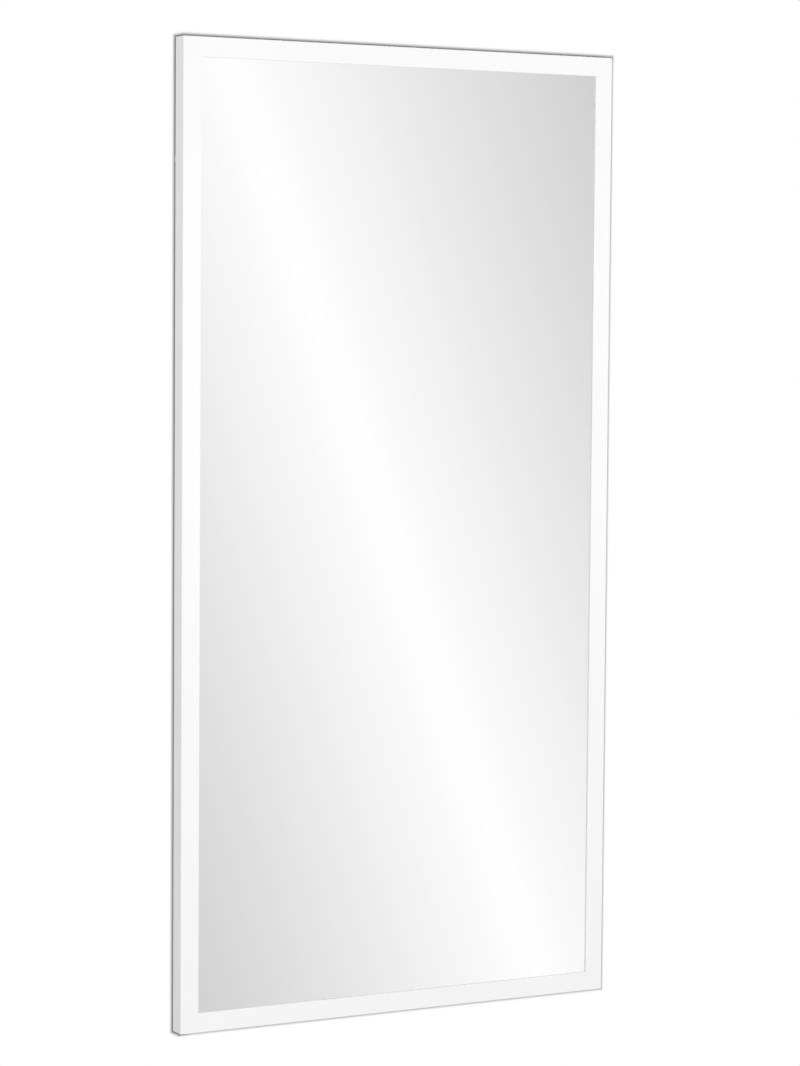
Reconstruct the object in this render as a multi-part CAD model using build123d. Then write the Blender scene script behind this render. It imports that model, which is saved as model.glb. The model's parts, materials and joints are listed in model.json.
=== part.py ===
from build123d import *

import math
import os

# A rectangular wall mirror in a narrow white frame, hung upright or lying.
# X runs to the right and +Z up, seen from the front. The wall is the plane y = 0 and the mirror
# stands in front of it, at negative y. The origin is the mirror's middle, on the wall.
# Sizes are millimetres.

# Frame moulding
FRAME_WIDTH = 600.0
FRAME_HEIGHT = 1200.0
FRAME_DEPTH = 22.0
FACE_WIDTH = 24.0  # moulding's front face, from the outer side to the sight edge
WALL_WIDTH = 17.0  # moulding behind the lip, from the outer side to the rebate
LIP_THICKNESS = 2.0  # lip in front of the glass
OUTER_EDGE_RADIUS = 0.9
SIGHT_EDGE_RADIUS = 0.5
BACK_EDGE_RADIUS = 0.4
CORNER_RADIUS = 0.8  # outer corner, seen from the front
MITRE_EASE = 0.12  # depth of the fine V along each mitre on the face

# Glass and what backs it
GLASS_THICKNESS = 3.0
GLASS_CLEARANCE = 1.5  # glass edge to rebate wall
GLASS_SEAM = 0.4  # ground arris all round the glass
PAINT_THICKNESS = 0.1  # grey paint over the silver coat on the glass's back
LINER_THICKNESS = 1.0
LINER_CLEARANCE = 2.0
BOARD_THICKNESS = 3.0
BOARD_CLEARANCE = 1.0

# Setting pads, two on each side of the glass
PAD_LENGTH = 30.0
PAD_INSET = 95.0  # frame's corner to the pad's middle

# Steel points that hold the back board in the rebate
POINT_LENGTH = 14.0
POINT_WIDTH = 5.5
POINT_THICKNESS = 0.5
POINT_GRIP = 6.0  # driven into the moulding
POINT_TIP = 2.5  # length of the sharpened end
POINT_INSET = 60.0  # frame's corner to the first point
POINT_SPACING = 135.0

# V nails in the back of each mitre
V_NAIL_LEG = 5.0
V_NAIL_THICKNESS = 0.6
V_NAIL_DEPTH = 10.0
V_NAIL_INSETS = (4.0, 10.2)  # outer sides to the bend of each nail

# Strap hangers: upright ones on the stiles, sideways ones on the rails
UPRIGHT_HANGER_INSET = 150.0  # frame's top to the ring's axis
SIDEWAYS_HANGER_INSET = 110.0  # frame's right side to the ring's axis
WIRE_RADIUS = 1.1
RING_PLAY = 0.08  # radial, between the ring's bar and the strap's fold
RING_HALF_WIDTH = 6.9  # to the middle of the wire
RING_LENGTH = 13.0  # ring's axis to the middle of the far wire
RING_BEND = 2.4
STRAP_THICKNESS = 0.8
STRAP_WIDTH = 8.0
STRAP_LENGTH = 28.0  # ring's axis to the strap's end
STRAP_END_RADIUS = 3.0
STRAP_FOLD_GAP = 0.1  # between the strap's two layers
STRAP_RETURN_RADIUS = 3.0  # where the upper layer comes down from the fold

# Pan-head screws through the straps
SCREW_PLACES = (8.0, 21.0)  # ring's axis to each screw
SCREW_RADIUS = 1.25
SCREW_LENGTH = 10.0
SCREW_TIP = 2.2
SCREW_HEAD_RADIUS = 2.7
SCREW_HEAD_HEIGHT = 1.7
SCREW_HEAD_ROUND = 1.1
SCREW_HOLE_PLAY = 0.35
RECESS_SPAN = 2.9
RECESS_WIDTH = 0.7
RECESS_DEPTH = 0.9

# Rubber buttons between frame and wall
BUMPER_HEIGHT = 5.0
BUMPER_RADIUS = 6.0
BUMPER_TOP_RADIUS = 5.2
BUMPER_ROUND = 1.4
BUMPER_INSET = 40.0  # frame's top or bottom to the bumper's middle

# Levels between the wall and the frame's front
FRAME_BACK = -BUMPER_HEIGHT
FRAME_FRONT = FRAME_BACK - FRAME_DEPTH
GLASS_FRONT = FRAME_FRONT + LIP_THICKNESS
GLASS_BACK = GLASS_FRONT + GLASS_THICKNESS
PAINT_BACK = GLASS_BACK + PAINT_THICKNESS
LINER_BACK = PAINT_BACK + LINER_THICKNESS
BOARD_BACK = LINER_BACK + BOARD_THICKNESS
POINT_BACK = BOARD_BACK + POINT_THICKNESS

# Lengths worked out from those above
REBATE_WIDTH = FRAME_WIDTH - 2 * WALL_WIDTH
REBATE_HEIGHT = FRAME_HEIGHT - 2 * WALL_WIDTH
STRAP_FOLD_RADIUS = WIRE_RADIUS + RING_PLAY + STRAP_THICKNESS / 2
STRAP_UNDERSIDE = STRAP_FOLD_RADIUS + STRAP_THICKNESS / 2  # below the ring's axis
STRAP_TOP = 1.5 * STRAP_THICKNESS + STRAP_FOLD_GAP - STRAP_FOLD_RADIUS
RING_AXIS_LEVEL = FRAME_BACK + STRAP_UNDERSIDE
HANGER_LINE = WALL_WIDTH / 2  # outer side to the strap's middle

# Each side: turn about Y from the bottom, length, and how far its outer side is from the middle
SIDES = {
    "bottom_rail": (0, FRAME_WIDTH, FRAME_HEIGHT / 2),
    "top_rail": (180, FRAME_WIDTH, FRAME_HEIGHT / 2),
    "left_stile": (90, FRAME_HEIGHT, FRAME_WIDTH / 2),
    "right_stile": (-90, FRAME_HEIGHT, FRAME_WIDTH / 2),
}

# Each hanger: turn about Y from ring-upward, and the x and z of its ring's axis
HANGERS = {
    "left": (0, HANGER_LINE - FRAME_WIDTH / 2, FRAME_HEIGHT / 2 - UPRIGHT_HANGER_INSET),
    "right": (0, FRAME_WIDTH / 2 - HANGER_LINE, FRAME_HEIGHT / 2 - UPRIGHT_HANGER_INSET),
    "top": (90, FRAME_WIDTH / 2 - SIDEWAYS_HANGER_INSET, FRAME_HEIGHT / 2 - HANGER_LINE),
    "bottom": (90, FRAME_WIDTH / 2 - SIDEWAYS_HANGER_INSET, HANGER_LINE - FRAME_HEIGHT / 2),
}


def save(name, shape):
    export_step(shape, os.path.join("parts", name + ".step"))


def slab(outline, front, back):
    """An outline drawn in X and Z, made solid between two levels."""
    return extrude(Plane.XZ.offset(-back) * outline, amount=back - front)


def on_side(name):
    """Place on a side: X along it, Z inwards from its outer side."""
    turn, _, offset = SIDES[name]
    return Rot(0, turn, 0) * Pos(0, 0, -offset)


def hanger_place(name):
    """Place of a hanger: its ring's bar along X, the ring towards +Z."""
    turn, x, z = HANGERS[name]
    return Pos(x, RING_AXIS_LEVEL, z) * Rot(0, turn, 0)


def spread(length, inset, spacing):
    """Evenly spaced places along a side, the outer ones an inset from its ends."""
    reach = length / 2 - inset
    steps = max(1, round(2 * reach / spacing))
    return [-reach + 2 * reach * i / steps for i in range(steps + 1)]


def moulding_section():
    """Rebated section: x from the wall plane, y inwards from the outer side."""
    corners = [
        (FRAME_FRONT, 0),
        (FRAME_FRONT, FACE_WIDTH),
        (GLASS_FRONT, FACE_WIDTH),
        (GLASS_FRONT, WALL_WIDTH),
        (FRAME_BACK, WALL_WIDTH),
        (FRAME_BACK, 0),
    ]
    radii = [OUTER_EDGE_RADIUS, SIGHT_EDGE_RADIUS, 0, 0, BACK_EDGE_RADIUS, BACK_EDGE_RADIUS]
    return make_face(FilletPolyline(corners, radius=radii, close=True))


def mitre_groove(side_x, side_z):
    """Fine V along one mitre, from the outer corner to the sight corner."""
    inwards = Vector(-side_x, 0, -side_z)
    corner = (side_x * FRAME_WIDTH / 2, FRAME_FRONT, side_z * FRAME_HEIGHT / 2)
    across = Plane(origin=corner, x_dir=(0, 1, 0), z_dir=inwards)
    notch = Polygon(
        (-MITRE_EASE, -2 * MITRE_EASE),
        (-MITRE_EASE, 2 * MITRE_EASE),
        (MITRE_EASE, 0),
        align=None,
    )
    return extrude(across * notch, amount=FACE_WIDTH * math.sqrt(2))


def make_side(name, cutters):
    """One mitred moulding, with the slots and holes of what is driven into it."""
    _, length, _ = SIDES[name]
    bar = extrude(Plane.YZ * moulding_section(), amount=length / 2, both=True)
    mitred = Polygon(
        (-length / 2, 0),
        (length / 2, 0),
        (length / 2 - FACE_WIDTH, FACE_WIDTH),
        (FACE_WIDTH - length / 2, FACE_WIDTH),
        align=None,
    )
    placed = on_side(name) * (bar & slab(mitred, FRAME_FRONT, FRAME_BACK))
    outline = RectangleRounded(FRAME_WIDTH, FRAME_HEIGHT, CORNER_RADIUS)
    return (placed & slab(outline, FRAME_FRONT, FRAME_BACK)) - cutters


def make_glass():
    outline = Rectangle(REBATE_WIDTH - 2 * GLASS_CLEARANCE, REBATE_HEIGHT - 2 * GLASS_CLEARANCE)
    pane = slab(outline, GLASS_FRONT, GLASS_BACK)
    return chamfer(pane.edges().filter_by(Axis.Y, reverse=True), GLASS_SEAM)


def make_backing_paint():
    margin = GLASS_CLEARANCE + GLASS_SEAM
    outline = Rectangle(REBATE_WIDTH - 2 * margin, REBATE_HEIGHT - 2 * margin)
    return slab(outline, GLASS_BACK, PAINT_BACK)


def make_liner():
    outline = Rectangle(REBATE_WIDTH - 2 * LINER_CLEARANCE, REBATE_HEIGHT - 2 * LINER_CLEARANCE)
    return slab(outline, PAINT_BACK, LINER_BACK)


def make_board():
    outline = Rectangle(REBATE_WIDTH - 2 * BOARD_CLEARANCE, REBATE_HEIGHT - 2 * BOARD_CLEARANCE)
    return slab(outline, LINER_BACK, BOARD_BACK)


def setting_pads():
    """Two pads a side, filling the gap between the glass's edge and the rebate."""
    middle = WALL_WIDTH + GLASS_CLEARANCE / 2
    pads = []
    for name, (_, length, _) in SIDES.items():
        for x in (PAD_INSET - length / 2, length / 2 - PAD_INSET):
            outline = Pos(x, middle) * Rectangle(PAD_LENGTH, GLASS_CLEARANCE)
            pads.append(on_side(name) * slab(outline, GLASS_FRONT, GLASS_BACK))
    return pads


def retaining_points():
    """Flat points along the rebate, sharp end in the moulding, round end on the board."""
    tip = WALL_WIDTH - POINT_GRIP
    end = tip + POINT_LENGTH
    half = POINT_WIDTH / 2
    corners = [
        (0, tip),
        (half, tip + POINT_TIP),
        (half, end),
        (-half, end),
        (-half, tip + POINT_TIP),
    ]
    rounds = [0, 0, half / 2, half / 2, 0]
    outline = make_face(FilletPolyline(corners, radius=rounds, close=True))
    points = []
    for name, (_, length, _) in SIDES.items():
        for x in spread(length, POINT_INSET, POINT_SPACING):
            points.append(on_side(name) * slab(Pos(x, 0) * outline, BOARD_BACK, POINT_BACK))
    return points


def v_nails():
    """Right-angled nails across each mitre, one leg in each moulding."""
    nails = []
    for side_x in (-1, 1):
        for side_z in (-1, 1):
            for inset in V_NAIL_INSETS:
                x = side_x * (FRAME_WIDTH / 2 - inset)
                z = side_z * (FRAME_HEIGHT / 2 - inset)
                bend = FilletPolyline(
                    (x - side_x * V_NAIL_LEG, z),
                    (x, z),
                    (x, z - side_z * V_NAIL_LEG),
                    radius=V_NAIL_THICKNESS,
                )
                outline = trace(bend, line_width=V_NAIL_THICKNESS)
                nails.append(slab(outline, FRAME_BACK - V_NAIL_DEPTH, FRAME_BACK))
    return nails


def make_ring():
    """D-shaped wire ring, its straight bar on the hinge axis."""
    bar_end = RING_HALF_WIDTH - RING_BEND
    shoulder = RING_LENGTH - RING_HALF_WIDTH
    line = Wire(
        [
            Line((-bar_end, 0), (bar_end, 0)),
            CenterArc((bar_end, RING_BEND), RING_BEND, -90, 90),
            Line((RING_HALF_WIDTH, RING_BEND), (RING_HALF_WIDTH, shoulder)),
            CenterArc((0, shoulder), RING_HALF_WIDTH, 0, 180),
            Line((-RING_HALF_WIDTH, shoulder), (-RING_HALF_WIDTH, RING_BEND)),
            CenterArc((-bar_end, RING_BEND), RING_BEND, 180, 90),
        ]
    )
    path = Plane.XZ * line
    section = Plane(origin=path @ 0, z_dir=path % 0) * Circle(WIRE_RADIUS)
    return sweep(section, path=path)


def strap_section():
    """The strap's sheet, seen along the ring's bar: x out of the frame, y towards the ring."""
    lower = -STRAP_FOLD_RADIUS
    upper = lower + STRAP_THICKNESS + STRAP_FOLD_GAP
    centres_apart = STRAP_FOLD_RADIUS + STRAP_RETURN_RADIUS
    return_x = upper + STRAP_RETURN_RADIUS
    return_y = -math.sqrt(centres_apart**2 - return_x**2)
    leave = math.degrees(math.atan2(return_y, return_x))
    middle = Wire(
        [
            Line((lower, -STRAP_LENGTH), (lower, 0)),
            CenterArc((0, 0), STRAP_FOLD_RADIUS, 180, leave - 180),
            CenterArc((return_x, return_y), STRAP_RETURN_RADIUS, leave + 180, -leave),
            Line((upper, return_y), (upper, -STRAP_LENGTH)),
        ]
    )
    return trace(middle, line_width=STRAP_THICKNESS)


def make_strap():
    """Folded steel strap with a rounded end and a clear hole for each screw."""
    folded = extrude(Plane.YZ * strap_section(), amount=STRAP_WIDTH / 2, both=True)
    half = STRAP_WIDTH / 2
    corners = [
        (-half, STRAP_UNDERSIDE),
        (half, STRAP_UNDERSIDE),
        (half, -STRAP_LENGTH),
        (-half, -STRAP_LENGTH),
    ]
    plan = make_face(FilletPolyline(corners, radius=[0, 0, STRAP_END_RADIUS, STRAP_END_RADIUS], close=True))
    strap = folded & slab(plan, -STRAP_UNDERSIDE, STRAP_UNDERSIDE)
    for place in SCREW_PLACES:
        hole = Pos(0, -place) * Circle(SCREW_RADIUS + SCREW_HOLE_PLAY)
        strap -= slab(hole, -STRAP_UNDERSIDE, STRAP_TOP)
    return strap


def make_screw():
    """Pan-head screw along Y, the underside of its head at y = 0, its point towards -Y."""
    corners = [
        (0, -SCREW_LENGTH),
        (SCREW_RADIUS, SCREW_TIP - SCREW_LENGTH),
        (SCREW_RADIUS, 0),
        (SCREW_HEAD_RADIUS, 0),
        (SCREW_HEAD_RADIUS, SCREW_HEAD_HEIGHT),
        (0, SCREW_HEAD_HEIGHT),
    ]
    rounds = [0, 0, 0, 0, SCREW_HEAD_ROUND, 0]
    screw = revolve(make_face(FilletPolyline(corners, radius=rounds, close=True)), axis=Axis.Y)
    recess_floor = SCREW_HEAD_HEIGHT - RECESS_DEPTH
    for width, height in ((RECESS_SPAN, RECESS_WIDTH), (RECESS_WIDTH, RECESS_SPAN)):
        screw -= slab(Rectangle(width, height), recess_floor, SCREW_HEAD_HEIGHT)
    return screw


def hanger_screws():
    screws = []
    for name in HANGERS:
        for place in SCREW_PLACES:
            screws.append(hanger_place(name) * Pos(0, STRAP_TOP, -place) * make_screw())
    return screws


def make_bumper():
    """Soft round button, its base on the frame's back and its flat top on the wall."""
    corners = [
        (0, FRAME_BACK),
        (BUMPER_RADIUS, FRAME_BACK),
        (BUMPER_TOP_RADIUS, 0),
        (0, 0),
    ]
    section = make_face(FilletPolyline(corners, radius=[0, 0, BUMPER_ROUND, 0], close=True))
    return revolve(section, axis=Axis.Y)


def main():
    os.makedirs("parts", exist_ok=True)

    points = retaining_points()
    nails = v_nails()
    screws = hanger_screws()
    grooves = [mitre_groove(x, z) for x in (-1, 1) for z in (-1, 1)]
    for name in SIDES:
        save(name, make_side(name, points + nails + screws + grooves))

    save("mirror_glass", make_glass())
    save("backing_paint", make_backing_paint())
    save("liner_sheet", make_liner())
    save("back_board", make_board())
    save("setting_pads", Compound(children=setting_pads()))
    save("retaining_points", Compound(children=points))
    save("corner_v_nails", Compound(children=nails))
    save("hanger_screws", Compound(children=screws))

    for name in HANGERS:
        save(name + "_hanger_strap", hanger_place(name) * make_strap())
        save(name + "_hanger_ring", hanger_place(name) * make_ring())

    for x_name, side_x in (("left", -1), ("right", 1)):
        for z_name, side_z in (("top", 1), ("bottom", -1)):
            x = side_x * (FRAME_WIDTH / 2 - HANGER_LINE)
            z = side_z * (FRAME_HEIGHT / 2 - BUMPER_INSET)
            save(f"{z_name}_{x_name}_bumper", Pos(x, 0, z) * make_bumper())


main()
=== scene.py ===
import json
import math

import bpy
from mathutils import Matrix, Vector


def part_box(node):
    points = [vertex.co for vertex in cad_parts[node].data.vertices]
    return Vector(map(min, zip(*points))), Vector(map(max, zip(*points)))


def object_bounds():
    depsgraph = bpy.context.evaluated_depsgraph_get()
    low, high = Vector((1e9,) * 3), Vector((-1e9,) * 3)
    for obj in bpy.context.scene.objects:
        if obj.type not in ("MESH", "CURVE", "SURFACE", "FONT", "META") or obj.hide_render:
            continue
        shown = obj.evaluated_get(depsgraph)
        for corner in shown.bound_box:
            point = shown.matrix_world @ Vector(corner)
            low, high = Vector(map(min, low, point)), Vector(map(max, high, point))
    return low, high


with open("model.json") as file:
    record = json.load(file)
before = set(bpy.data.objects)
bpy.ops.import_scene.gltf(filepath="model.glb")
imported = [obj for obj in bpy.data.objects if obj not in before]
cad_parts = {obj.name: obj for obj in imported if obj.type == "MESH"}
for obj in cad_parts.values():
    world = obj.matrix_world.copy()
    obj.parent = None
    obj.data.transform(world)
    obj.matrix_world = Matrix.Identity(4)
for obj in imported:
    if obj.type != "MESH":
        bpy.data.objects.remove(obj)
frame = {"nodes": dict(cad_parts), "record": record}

# The looks of a rectangular wall mirror in a narrow white frame, hung upright on a white wall.
# Metres. +X to the right and +Z up, seen from the front, with the wall's plane at y = 0.
# A span holds two values between which something changes, and after them, where it has four
# numbers, what it changes from and to.

cad_low, cad_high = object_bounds()

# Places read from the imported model
HALF_WIDTH = cad_high.x
HALF_HEIGHT = cad_high.z
FRAME_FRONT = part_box("left_stile")[0].y
LIP_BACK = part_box("mirror_glass")[0].y

# Camera: where it stands, how far its line of sight turns from +Y towards +X, rises and rolls, in degrees
CAMERA_PLACE = Vector((-1.9034, -3.5204, 0.2707))
CAMERA_TURN = 28.550
CAMERA_RISE = -3.877
CAMERA_ROLL = 0.440
CAMERA_LENS = 108.39  # for a 36 mm sensor along the picture's height
SENSOR = 36.0

# Light on the object. A level of 1 shows a colour as it is written.
AMBIENT = 0.626  # on a surface that faces sideways
AMBIENT_FRONT = 0.372  # how much brighter the surroundings in front are than those at the side
KEY_PLACE = Vector((-0.86, -1.30, 0.33))
KEY_SIZE = 0.6
KEY_LEVEL = 0.151
FILL_PLACE = Vector((0.79, -1.14, 0.31))
FILL_SIZE = 0.6
FILL_LEVEL = 0.096
BACK_PLACE = Vector((-1.9, 5.0, 2.8))
BACK_SIZE = 1.7
BACK_LEVEL = 0.45

# The bright band that the mirror reflects: a line across the picture
BAND_TILT = 18.55  # degrees from upright, its top to the left
BAND_OFFSET = 0.187  # degrees to the left of the picture's middle
BAND_FALL = 1.726  # display brightness lost per radian away from the band
BAND_PITCH = 0.112  # radians from the brightest to the darkest
CURVE_OFFSET = 0.055  # of the curve from display brightness to a level of light
CURVE_POWER = 2.4
MIRROR_REFLECTANCE = 0.965

# What the back's metal and the sides reflect: levels at heights, as the z of a direction
BEHIND_LOW = (-0.35, 0.0, 0.22, 0.42)
BEHIND_HIGH = (0.1, 0.7, 0.0, 0.65)
BEHIND_SIDES = (0.45, 0.65, 0.0, 0.45)  # added to both sides, by the x of a direction
FRONT_TO_BEHIND = (-0.05, 0.35)  # y of a direction, from the studio in front to the one behind
SOFT_BOX = Vector((0.45, 0.62, 0.64)).normalized()
SOFT_BOX_EDGE = (0.94, 0.97)  # cosines of the angle from its middle
SOFT_BOX_LEVEL = 2.6

# Stage
FLOOR_LEVEL = -0.85
WALL_SPREAD = 14.0
FLOOR_SPREAD = 14.0
FLOOR_TONES = (0.79, 0.81)
FLOOR_GLOW = 0.2
FLOOR_FADE = (1.0, 2.6)  # from the middle, where the floor begins and ends its fade to white
# The painted shadow on the wall round the frame, drawn into the wall's glow and not cast by the lamps. Its
# outline is cut off at both left corners.
SHADE_LEFT = -0.0023  # how far it reaches beyond the frame's sides
SHADE_RIGHT = 0.0170
SHADE_UP = 0.0025
SHADE_DOWN = 0.0068
SHADE_CUT = 0.0102
SHADE_CUT_RISE = 0.0020  # of the cut at the top
SHADE_CUT_FALL = 0.0056  # of the cut at the bottom
SHADE_INSIDE = -0.001  # where its soft edge begins, outside the outline
NEAR_EDGE = 0.0056  # where the edge ends, on the left and at the top
FAR_EDGE = 0.0036  # the same on the right and at the bottom
NEAR_SHADE = 0.07  # level of the painted shade within the outline, close to its left and top
FAR_SHADE = 0.44  # its level elsewhere
NEAR_FADED = 0.22  # the same at the shade's lower right reach
NEAR_DEPTH = (-0.012, -0.004)  # where the near shade goes over into the far one, outside the outline
NEAR_THINNED = (-0.001, 0.002, 0.0, 0.0045)  # how much less deep it is right of the frame and below it
GAP_SHADE = (-0.006, -0.0005, 0.4, 1.0)  # its painted darkening right behind the frame, where the gap is in shade

MOST_NOISE = (0.3, 0.7)  # between these lie most values of a noise


def add(tree, kind, inputs=None, **settings):
    """Adds a node. An input given as a socket is linked, and any other is set."""
    node = tree.nodes.new(kind)
    for name, value in settings.items():
        setattr(node, name, value)
    for name, value in (inputs or {}).items():
        if isinstance(value, bpy.types.NodeSocket):
            tree.links.new(value, node.inputs[name])
        else:
            node.inputs[name].default_value = value
    return node


def maths(tree, operation, *values, clamp=False):
    inputs = dict(enumerate(values))
    return add(tree, "ShaderNodeMath", inputs, operation=operation, use_clamp=clamp).outputs[0]


def vector_maths(tree, operation, *values):
    node = add(tree, "ShaderNodeVectorMath", dict(enumerate(values)), operation=operation)
    return node.outputs["Value" if operation in ("DOT_PRODUCT", "LENGTH") else "Vector"]


def ramp(tree, value, low, high, start=0.0, end=1.0, smooth=True):
    """Goes from start to end as the value goes from low to high, and is held outside."""
    kind = "SMOOTHSTEP" if smooth else "LINEAR"
    inputs = {"Value": value, "From Min": low, "From Max": high, "To Min": start, "To Max": end}
    return add(tree, "ShaderNodeMapRange", inputs, interpolation_type=kind).outputs["Result"]


def between(tree, share, first, second):
    """A number that goes from the first to the second."""
    return add(tree, "ShaderNodeMix", {0: share, 2: first, 3: second}, data_type="FLOAT").outputs[0]


def blend(tree, share, first, second):
    """A colour that goes from the first to the second."""
    node = add(tree, "ShaderNodeMix", data_type="RGBA")
    for name, value in (("Factor_Float", share), ("A_Color", first), ("B_Color", second)):
        socket = next(s for s in node.inputs if s.identifier == name)
        if isinstance(value, bpy.types.NodeSocket):
            tree.links.new(value, socket)
        else:
            socket.default_value = value
    return next(s for s in node.outputs if s.identifier == "Result_Color")


def grey(level):
    return (level, level, level, 1.0)


def places(tree):
    """Where a point of the surface is, in the model's own frame."""
    return add(tree, "ShaderNodeTexCoord").outputs["Object"]


def noise(tree, size, detail=3.0, stretch=None, rough=0.55):
    """Noise from 0 to 1 whose features are about that size, in metres."""
    vector = places(tree)
    if stretch:
        vector = add(tree, "ShaderNodeMapping", {"Vector": vector, "Scale": stretch}).outputs[0]
    inputs = {"Vector": vector, "Scale": 1.0 / size, "Detail": detail, "Roughness": rough}
    return add(tree, "ShaderNodeTexNoise", inputs).outputs[0]


def bump(tree, height, depth):
    """A bumped normal from a height of 0 to 1 and a depth in metres."""
    return add(tree, "ShaderNodeBump", {"Height": height, "Strength": 1.0, "Distance": depth}).outputs[0]


def glow(tree, strength):
    return add(tree, "ShaderNodeEmission", {"Color": grey(1.0), "Strength": strength}).outputs[0]


def empty_material(name):
    made = bpy.data.materials.new(name)
    made.use_nodes = True
    made.node_tree.nodes.clear()
    return made, made.node_tree


def material(name):
    """A new material, with its tree and its Principled shader."""
    made, tree = empty_material(name)
    shader = add(tree, "ShaderNodeBsdfPrincipled")
    add(tree, "ShaderNodeOutputMaterial", {"Surface": shader.outputs[0]})
    return made, tree, shader


def dress(shader, tree, **inputs):
    names = {"colour": "Base Color", "roughness": "Roughness", "normal": "Normal", "metallic": "Metallic"}
    for key, value in inputs.items():
        socket = shader.inputs[names[key]]
        if isinstance(value, bpy.types.NodeSocket):
            tree.links.new(value, socket)
        else:
            socket.default_value = value


def outline_depths(tree):
    """How far a point lies in from the frame's nearer outer sides: left or right, then top or bottom."""
    split = add(tree, "ShaderNodeSeparateXYZ", {"Vector": places(tree)})
    from_side = maths(tree, "SUBTRACT", HALF_WIDTH, maths(tree, "ABSOLUTE", split.outputs["X"]))
    from_end = maths(tree, "SUBTRACT", HALF_HEIGHT, maths(tree, "ABSOLUTE", split.outputs["Z"]))
    return from_side, from_end, split.outputs["Y"]


FOIL_WHITE = 0.915
FOIL_CLOUD = FOIL_WHITE - 0.012
FOIL_SPECK = FOIL_WHITE - 0.05
SPECK_SPAN = (0.62, 0.78, 0.0, 0.35)
PAINTED_SIDE_LIGHT_TINT = (0.900, 0.868, 0.857, 1.0)  # painted light: the faintly warmer tone that light from the side gives the frame's outer sides, put into the foil's colour
PAINTED_SIDE_LIGHT_SHARE = 0.5  # how much of that painted side light they take
PAST_FRONT = (FRAME_FRONT + 0.0003, FRAME_FRONT + 0.0009)  # y, over the rounded front edge
PAST_SIDE = (0.0002, 0.0007)  # in from the outer side
FOIL_WRAP = 0.0055  # width of the foil turned over onto the frame's back
FOIL_RAGGED = 0.00012  # how far its cut edge strays
FOIL_EDGE = 0.0001
MITRE_WIDTH = 0.00022
MITRE_STRENGTH = 0.26
MITRE_TONE = (0.42, 0.39, 0.36, 1.0)
SAWN_MITRE_WIDTH = 0.00045
SAWN_MITRE_STRENGTH = 0.85
SAWN_MITRE_TONE = (0.10, 0.065, 0.04, 1.0)
BOARD_TONES = ((0.36, 0.25, 0.15, 1.0), (0.56, 0.42, 0.27, 1.0))
PATCH_TONE = (0.44, 0.33, 0.22, 1.0)
PATCH_SPAN = (0.35, 0.7, 0.0, 0.4)
ARRIS_WIDTH = 0.0012  # of the front's outer edge, which is handled most and shines more
ARRIS_POLISH = 0.08  # roughness that it has less
SATIN = (0.36, 0.43)
BARE_ROUGHNESS = 0.5  # what bare board adds
GRAIN_HEIGHT = 0.35  # of the foil's grain, as a share of the bare fibres' height
FIBRE_DEPTH = 0.00003


def foil_colour(tree, depth, y):
    """White with faint clouds and specks, and a painted warmer side light on the frame's outer sides."""
    cloud = noise(tree, size=0.22, detail=2.0)
    speck = noise(tree, size=0.0016, detail=2.0)
    colour = blend(tree, ramp(tree, cloud, *MOST_NOISE), grey(FOIL_CLOUD), grey(FOIL_WHITE))
    colour = blend(tree, ramp(tree, speck, *SPECK_SPAN), colour, grey(FOIL_SPECK))
    # Painted light: the outer sides get a warmer tint that stands in for the warmer light falling on them.
    past_front = ramp(tree, y, *PAST_FRONT, 0.0, PAINTED_SIDE_LIGHT_SHARE)
    painted_side_light = maths(tree, "MULTIPLY", past_front, ramp(tree, depth, *PAST_SIDE, 1.0, 0.0))
    return blend(tree, painted_side_light, colour, PAINTED_SIDE_LIGHT_TINT)


def board_colour(tree, fibre):
    patch = noise(tree, size=0.03, detail=2.0)
    colour = blend(tree, ramp(tree, fibre, *MOST_NOISE), *BOARD_TONES)
    return blend(tree, ramp(tree, patch, *PATCH_SPAN), colour, PATCH_TONE)


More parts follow.
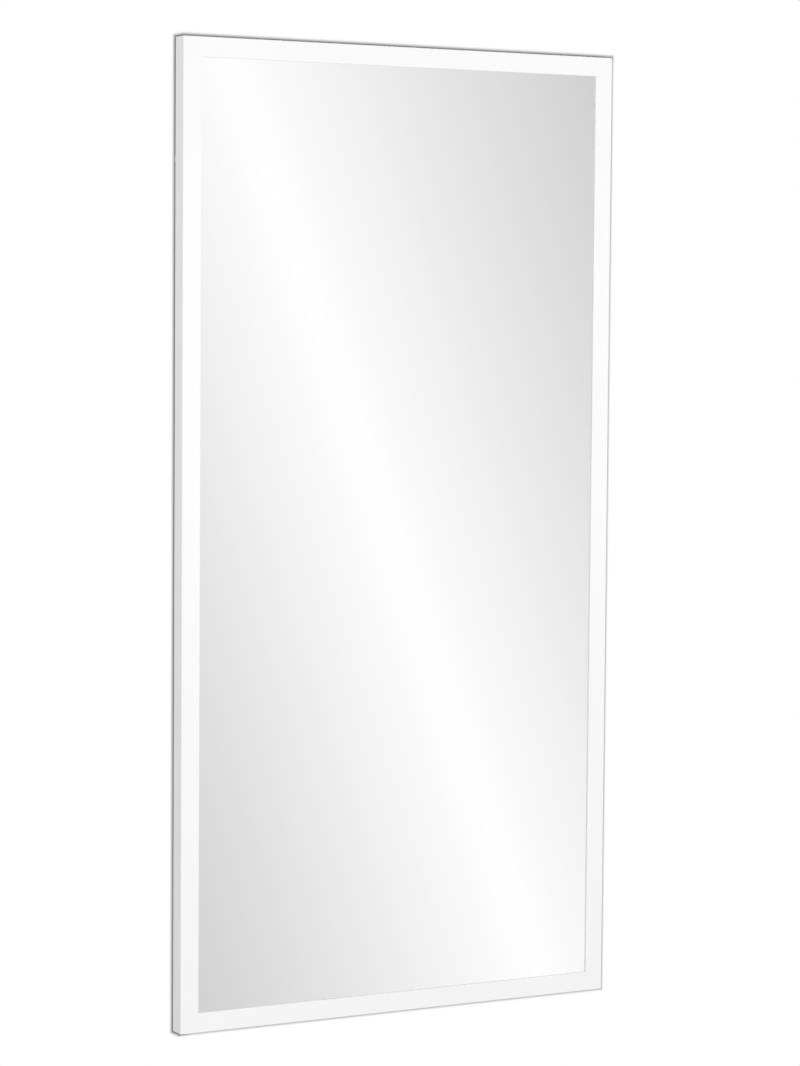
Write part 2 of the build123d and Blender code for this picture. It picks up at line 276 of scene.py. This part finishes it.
def white_foil():
    """Satin white foil over wood fibre board, which is bare on the back and in the rebate."""
    made, tree, shader = material("white_foil")
    from_side, from_end, y = outline_depths(tree)
    depth = maths(tree, "MINIMUM", from_side, from_end)

    ragged = ramp(tree, noise(tree, size=0.003), *MOST_NOISE, -FOIL_RAGGED, FOIL_RAGGED)
    past_wrap = ramp(tree, maths(tree, "ADD", depth, ragged), FOIL_WRAP, FOIL_WRAP + FOIL_EDGE)
    behind_lip = ramp(tree, y, LIP_BACK - FOIL_EDGE, LIP_BACK)
    bare = maths(tree, "MULTIPLY", past_wrap, behind_lip)

    fibre = noise(tree, size=0.0009, detail=4.0, rough=0.7)
    off_mitre = maths(tree, "ABSOLUTE", maths(tree, "SUBTRACT", from_side, from_end))
    in_mitre = ramp(tree, off_mitre, 0.0, MITRE_WIDTH, MITRE_STRENGTH, 0.0)
    in_sawn_mitre = ramp(tree, off_mitre, 0.0, SAWN_MITRE_WIDTH, SAWN_MITRE_STRENGTH, 0.0)
    foil = blend(tree, in_mitre, foil_colour(tree, depth, y), MITRE_TONE)
    board = blend(tree, in_sawn_mitre, board_colour(tree, fibre), SAWN_MITRE_TONE)
    colour = blend(tree, bare, foil, board)

    at_side = ramp(tree, depth, 0.0, ARRIS_WIDTH, 1.0, 0.0)
    at_front = ramp(tree, y, FRAME_FRONT, FRAME_FRONT + ARRIS_WIDTH, 1.0, 0.0)
    on_arris = maths(tree, "MULTIPLY", at_side, at_front)
    satin = ramp(tree, noise(tree, size=0.012, detail=4.0), *MOST_NOISE, *SATIN)
    satin = maths(tree, "SUBTRACT", satin, maths(tree, "MULTIPLY", on_arris, ARRIS_POLISH))
    roughness = maths(tree, "ADD", satin, maths(tree, "MULTIPLY", bare, BARE_ROUGHNESS), clamp=True)

    grain = maths(tree, "MULTIPLY", noise(tree, size=0.0007, detail=2.0), GRAIN_HEIGHT)
    height = maths(tree, "ADD", grain, maths(tree, "MULTIPLY", fibre, bare))
    normal = bump(tree, height, FIBRE_DEPTH)
    dress(shader, tree, colour=colour, roughness=roughness, normal=normal)
    return made


BLOOM_REFLECTANCE = MIRROR_REFLECTANCE - 0.004
BLOOM_ROUGHNESS = (0.4, 0.8, 0.0, 0.012)


def silvered_glass():
    """Clean float glass with a silver coat: a flat mirror, with the faintest bloom."""
    made, tree, shader = material("silvered_glass")
    bloom = ramp(tree, noise(tree, size=0.09), *MOST_NOISE)
    colour = blend(tree, bloom, grey(BLOOM_REFLECTANCE), grey(MIRROR_REFLECTANCE))
    roughness = ramp(tree, noise(tree, size=0.02, detail=4.0), *BLOOM_ROUGHNESS)
    dress(shader, tree, colour=colour, roughness=roughness, metallic=1.0)
    return made


PAINT_TONES = ((0.25, 0.26, 0.27, 1.0), (0.32, 0.33, 0.34, 1.0))
PAINT_MATT = (0.5, 0.65)


def grey_paint():
    made, tree, shader = material("grey_paint")
    mottle = noise(tree, size=0.006, detail=4.0)
    colour = blend(tree, ramp(tree, mottle, *MOST_NOISE), *PAINT_TONES)
    roughness = ramp(tree, noise(tree, size=0.002), *MOST_NOISE, *PAINT_MATT)
    dress(shader, tree, colour=colour, roughness=roughness, normal=bump(tree, mottle, depth=0.00003))
    return made


CARD_TONES = ((0.50, 0.44, 0.36, 1.0), (0.66, 0.60, 0.51, 1.0))
CARD_MATT = 0.9


def card():
    made, tree, shader = material("card")
    fibre = noise(tree, size=0.0012, detail=5.0, rough=0.7)
    colour = blend(tree, ramp(tree, fibre, *MOST_NOISE), *CARD_TONES)
    dress(shader, tree, colour=colour, roughness=CARD_MATT, normal=bump(tree, fibre, depth=0.00004))
    return made


HARDBOARD_TONES = ((0.21, 0.125, 0.066, 1.0), (0.40, 0.27, 0.165, 1.0))
HARDBOARD_SPAN = (0.28, 0.72)
HARDBOARD_MATT = (0.55, 0.72)
STRAND_TONE = (0.30, 0.19, 0.105, 1.0)
STRAND_SPAN = (0.45, 0.7, 0.0, 0.45)
CLOUD_TONE = (0.40, 0.265, 0.16, 1.0)
CLOUD_SPAN = (0.35, 0.7, 0.0, 0.5)
STREAK_TONE = (0.235, 0.145, 0.08, 1.0)
STREAK_SPAN = (0.45, 0.7, 0.0, 0.3)
FLECK_TONE = (0.11, 0.065, 0.035, 1.0)
FLECK_SPAN = (0.70, 0.78, 0.0, 0.7)


def hardboard():
    """Smooth brown hardboard: matted fibres, flecks of bark, and broad clouds and streaks from the press."""
    made, tree, shader = material("hardboard")
    fibre = noise(tree, size=0.0011, detail=6.0, rough=0.72)
    strand = noise(tree, size=0.004, detail=5.0, stretch=(1.0, 1.0, 0.35), rough=0.65)
    cloud = noise(tree, size=0.16)
    streak = noise(tree, size=0.03, stretch=(1.0, 1.0, 0.07))
    fleck = noise(tree, size=0.0024, detail=1.0)
    colour = blend(tree, ramp(tree, fibre, *HARDBOARD_SPAN), *HARDBOARD_TONES)
    colour = blend(tree, ramp(tree, strand, *STRAND_SPAN), colour, STRAND_TONE)
    colour = blend(tree, ramp(tree, cloud, *CLOUD_SPAN), colour, CLOUD_TONE)
    colour = blend(tree, ramp(tree, streak, *STREAK_SPAN), colour, STREAK_TONE)
    colour = blend(tree, ramp(tree, fleck, *FLECK_SPAN), colour, FLECK_TONE)
    roughness = ramp(tree, strand, *MOST_NOISE, *HARDBOARD_MATT)
    dress(shader, tree, colour=colour, roughness=roughness, normal=bump(tree, fibre, depth=0.00005))
    return made


DUST_PALER = 1.7  # times as pale as the rubber
DUST_SPAN = (0.4, 0.8, 0.0, 0.5)
RUBBER_MATT = (0.68, 0.85)


def rubber(name, level):
    """Dark rubber with a little dust, which makes it paler in places."""
    made, tree, shader = material(name)
    grain = noise(tree, size=0.0005)
    dust = noise(tree, size=0.004)
    colour = blend(tree, ramp(tree, dust, *DUST_SPAN), grey(level), grey(level * DUST_PALER))
    roughness = ramp(tree, grain, *MOST_NOISE, *RUBBER_MATT)
    dress(shader, tree, colour=colour, roughness=roughness, normal=bump(tree, grain, depth=0.00005))
    return made


ZINC_TONES = ((0.54, 0.555, 0.58, 1.0), (0.68, 0.69, 0.70, 1.0))
BRIGHT_TONES = ((0.66, 0.66, 0.67, 1.0), (0.78, 0.78, 0.78, 1.0))


def steel(name, tones, shine, stretch):
    """Plated steel with fine drawn lines and a slightly uneven plating."""
    made, tree, shader = material(name)
    plating = noise(tree, size=0.0035, detail=4.0, rough=0.6)
    lines = noise(tree, size=0.0004, stretch=stretch)
    colour = blend(tree, ramp(tree, plating, *MOST_NOISE), *tones)
    uneven = maths(tree, "ADD", maths(tree, "MULTIPLY", plating, 0.5), maths(tree, "MULTIPLY", lines, 0.5))
    roughness = ramp(tree, uneven, *MOST_NOISE, *shine)
    normal = bump(tree, lines, depth=0.00001)
    dress(shader, tree, colour=colour, roughness=roughness, normal=normal, metallic=1.0)
    return made


def give(name, finish):
    """A CAD node takes a finish in place of its plain one."""
    slots = frame["nodes"][name].material_slots
    if not slots:
        frame["nodes"][name].data.materials.append(finish)
    for place in slots:
        place.material = finish


def dress_nodes():
    finishes = {
        "white_foil": white_foil(),
        "silvered_glass": silvered_glass(),
        "grey_paint": grey_paint(),
        "card": card(),
        "hardboard": hardboard(),
        "pad_rubber": rubber("pad_rubber", level=0.045),
        "zinc_steel": steel("zinc_steel", ZINC_TONES, shine=(0.30, 0.46), stretch=(1.0, 1.0, 0.1)),
        "bright_steel": steel("bright_steel", BRIGHT_TONES, shine=(0.16, 0.28), stretch=(0.3, 1.0, 1.0)),
        "bumper_rubber": rubber("bumper_rubber", level=0.07),
    }
    for part in frame["record"]["subparts"]:
        give(part["node"], finishes[part["material_slot"]])


def make_camera():
    data = bpy.data.cameras.new("camera")
    data.sensor_width = SENSOR
    data.lens = CAMERA_LENS
    camera = bpy.data.objects.new("camera", data)
    bpy.context.scene.collection.objects.link(camera)
    turn = Matrix.Rotation(math.radians(-CAMERA_TURN), 4, "Z")
    rise = Matrix.Rotation(math.radians(90 + CAMERA_RISE), 4, "X")
    roll = Matrix.Rotation(math.radians(CAMERA_ROLL), 4, "Z")
    camera.matrix_world = Matrix.Translation(CAMERA_PLACE) @ turn @ rise @ roll
    bpy.context.scene.camera = camera
    return camera


def make_lamp(name, place, size, level):
    """A square soft lamp aimed at the object's middle, where it adds that level to a surface facing it."""
    data = bpy.data.lights.new(name, "AREA")
    data.size = size
    data.energy = level * (math.pi * place.length) ** 2
    lamp = bpy.data.objects.new(name, data)
    bpy.context.scene.collection.objects.link(lamp)
    lamp.location = place
    lamp.rotation_euler = place.to_track_quat("Z", "Y").to_euler()
    lamp.visible_camera = False
    lamp.visible_glossy = False


def band_normal(camera):
    """Normal of the plane of directions in which the mirror shows its bright band."""
    right, up, back = (camera.matrix_world.to_3x3().col[i] for i in range(3))
    tilt = math.radians(BAND_TILT)
    offset = math.radians(BAND_OFFSET)
    normal = right * math.cos(tilt) + up * math.sin(tilt) - back * math.sin(offset)
    return Vector((normal.x, -normal.y, normal.z)).normalized()


def studio_in_front(tree, direction, camera):
    """What the mirror shows: brightest at the band, and evenly darker away from it."""
    across = vector_maths(tree, "DOT_PRODUCT", direction, band_normal(camera))
    away = maths(tree, "PINGPONG", maths(tree, "ARCSINE", across), BAND_PITCH)
    shown = maths(tree, "SUBTRACT", 1.0, maths(tree, "MULTIPLY", away, BAND_FALL))
    shown = maths(tree, "DIVIDE", maths(tree, "ADD", shown, CURVE_OFFSET), 1.0 + CURVE_OFFSET)
    return maths(tree, "DIVIDE", maths(tree, "POWER", shown, CURVE_POWER), MIRROR_REFLECTANCE)


def studio_behind(tree, direction, split):
    """What the metal on the back shows: paler upwards and to both sides, with one soft box."""
    height = split.outputs["Z"]
    sideways = maths(tree, "ABSOLUTE", split.outputs["X"])
    near_box = vector_maths(tree, "DOT_PRODUCT", direction, SOFT_BOX)
    level = maths(tree, "ADD", ramp(tree, height, *BEHIND_LOW), ramp(tree, height, *BEHIND_HIGH))
    level = maths(tree, "ADD", level, ramp(tree, sideways, *BEHIND_SIDES))
    return maths(tree, "ADD", level, ramp(tree, near_box, *SOFT_BOX_EDGE, 0.0, SOFT_BOX_LEVEL))


def make_world(camera):
    """White to the camera, a plain light on the object, and a banded studio in its reflections."""
    world = bpy.data.worlds.new("studio")
    bpy.context.scene.world = world
    world.use_nodes = True
    tree = world.node_tree
    tree.nodes.clear()
    direction = add(tree, "ShaderNodeTexCoord").outputs["Generated"]
    split = add(tree, "ShaderNodeSeparateXYZ", {"Vector": direction})
    path = add(tree, "ShaderNodeLightPath")

    side = ramp(tree, split.outputs["Y"], *FRONT_TO_BEHIND)
    front = studio_in_front(tree, direction, camera)
    reflected = between(tree, side, front, studio_behind(tree, direction, split))
    towards = maths(tree, "MULTIPLY", split.outputs["Y"], -AMBIENT_FRONT)
    ambient = maths(tree, "ADD", towards, AMBIENT)

    gloss = maths(tree, "MAXIMUM", path.outputs["Is Glossy Ray"], path.outputs["Is Transmission Ray"])
    level = between(tree, gloss, ambient, reflected)
    level = between(tree, path.outputs["Is Camera Ray"], level, 1.0)
    background = add(tree, "ShaderNodeBackground", {"Color": grey(1.0), "Strength": level})
    add(tree, "ShaderNodeOutputWorld", {"Surface": background.outputs[0]})


def plane(name, corners, finish):
    """A flat four-cornered stage piece, seen by the camera alone."""
    mesh = bpy.data.meshes.new(name)
    mesh.from_pydata(corners, [], [tuple(range(4))])
    mesh.materials.append(finish)
    made = bpy.data.objects.new(name, mesh)
    bpy.context.scene.collection.objects.link(made)
    for ray in ("diffuse", "glossy", "transmission", "shadow"):
        setattr(made, "visible_" + ray, False)


def shade_outline():
    """Corners of the shade, clockwise from the lower left, as x and z."""
    left = -HALF_WIDTH - SHADE_LEFT
    cut = left + SHADE_CUT
    right = HALF_WIDTH + SHADE_RIGHT
    low = -HALF_HEIGHT - SHADE_DOWN
    high = HALF_HEIGHT + SHADE_UP
    return [
        (left, low + SHADE_CUT_FALL),
        (left, high - SHADE_CUT_RISE),
        (cut, high),
        (right, high),
        (right, low),
        (cut, low),
    ]


def beyond_side(tree, first, second):
    """How far a point of the wall lies outside one side of the shade's outline."""
    along = (Vector(second) - Vector(first)).normalized()
    outward = Vector((-along.y, 0.0, along.x))
    reach = -along.y * first[0] + along.x * first[1]
    return maths(tree, "SUBTRACT", vector_maths(tree, "DOT_PRODUCT", places(tree), outward), reach)


def largest(tree, values):
    found = values[0]
    for value in values[1:]:
        found = maths(tree, "MAXIMUM", found, value)
    return found


def painted_wall_shadow(tree):
    """Level of the wall's glow with a painted shadow: the dark gap behind the frame, and a soft shade that
    reaches to the lower right, drawn from the frame's outline and not cast by the lamps.
    """
    corners = shade_outline()
    beyond = [beyond_side(tree, p, q) for p, q in zip(corners, corners[1:] + corners[:1])]
    left, top_cut, top, right, bottom, bottom_cut = beyond
    near_sides = [left, top_cut, top, bottom_cut]

    split = add(tree, "ShaderNodeSeparateXYZ", {"Vector": places(tree)})
    past_right = maths(tree, "SUBTRACT", split.outputs["X"], HALF_WIDTH)
    past_bottom = maths(tree, "SUBTRACT", -HALF_HEIGHT, split.outputs["Z"])
    lower_right = maths(tree, "MAXIMUM", past_right, past_bottom)
    near = maths(tree, "SUBTRACT", largest(tree, near_sides), ramp(tree, lower_right, *NEAR_THINNED))
    near_shade = ramp(tree, lower_right, 0.0, SHADE_RIGHT, NEAR_SHADE, NEAR_FADED, smooth=False)
    inside = ramp(tree, near, *NEAR_DEPTH, FAR_SHADE, near_shade)

    ends = [(side, NEAR_EDGE) for side in near_sides] + [(side, FAR_EDGE) for side in (right, bottom)]
    soft = largest(tree, [ramp(tree, side, SHADE_INSIDE, end, inside, 1.0) for side, end in ends])
    from_side, from_end, _ = outline_depths(tree)
    outside = maths(tree, "MULTIPLY", maths(tree, "MINIMUM", from_side, from_end), -1.0)
    return maths(tree, "MULTIPLY", soft, ramp(tree, outside, *GAP_SHADE))


def one_sided(name, front):
    """A material that shows what front(tree) gives, and is clear from behind."""
    made, tree = empty_material(name)
    clear = add(tree, "ShaderNodeBsdfTransparent").outputs[0]
    behind = add(tree, "ShaderNodeNewGeometry").outputs["Backfacing"]
    surface = add(tree, "ShaderNodeMixShader", {0: behind, 1: front(tree), 2: clear}).outputs[0]
    add(tree, "ShaderNodeOutputMaterial", {"Surface": surface})
    return made


def wall_paint(tree):
    """White glow, with the frame's painted shadow in it."""
    return glow(tree, painted_wall_shadow(tree))


def floor_paint(tree):
    """Pale, with the object's shadow, and fading into the white all round."""
    colour = blend(tree, noise(tree, size=0.05), *map(grey, FLOOR_TONES))
    lit = add(tree, "ShaderNodeBsdfDiffuse", {"Color": colour}).outputs[0]
    near = add(tree, "ShaderNodeAddShader", {0: lit, 1: glow(tree, FLOOR_GLOW)}).outputs[0]
    flat = vector_maths(tree, "MULTIPLY", places(tree), (1.0, 1.0, 0.0))
    far = ramp(tree, vector_maths(tree, "LENGTH", flat), *FLOOR_FADE)
    return add(tree, "ShaderNodeMixShader", {0: far, 1: near, 2: glow(tree, 1.0)}).outputs[0]


def make_stage():
    low = FLOOR_LEVEL
    high = low + WALL_SPREAD
    half = WALL_SPREAD / 2
    wall = [(-half, 0, low), (half, 0, low), (half, 0, high), (-half, 0, high)]
    # The wall glows white and carries a painted shadow of the frame.
    plane("wall", wall, one_sided("wall_paint", wall_paint))
    half = FLOOR_SPREAD / 2
    floor = [(-half, -half, low), (half, -half, low), (half, half, low), (-half, half, low)]
    plane("floor", floor, one_sided("floor_paint", floor_paint))


camera = make_camera()
dress_nodes()
make_world(camera)
make_lamp("key_lamp", KEY_PLACE, KEY_SIZE, KEY_LEVEL)
make_lamp("fill_lamp", FILL_PLACE, FILL_SIZE, FILL_LEVEL)
make_lamp("back_lamp", BACK_PLACE, BACK_SIZE, BACK_LEVEL)
make_stage()
bpy.context.scene.view_settings.view_transform = "Standard"
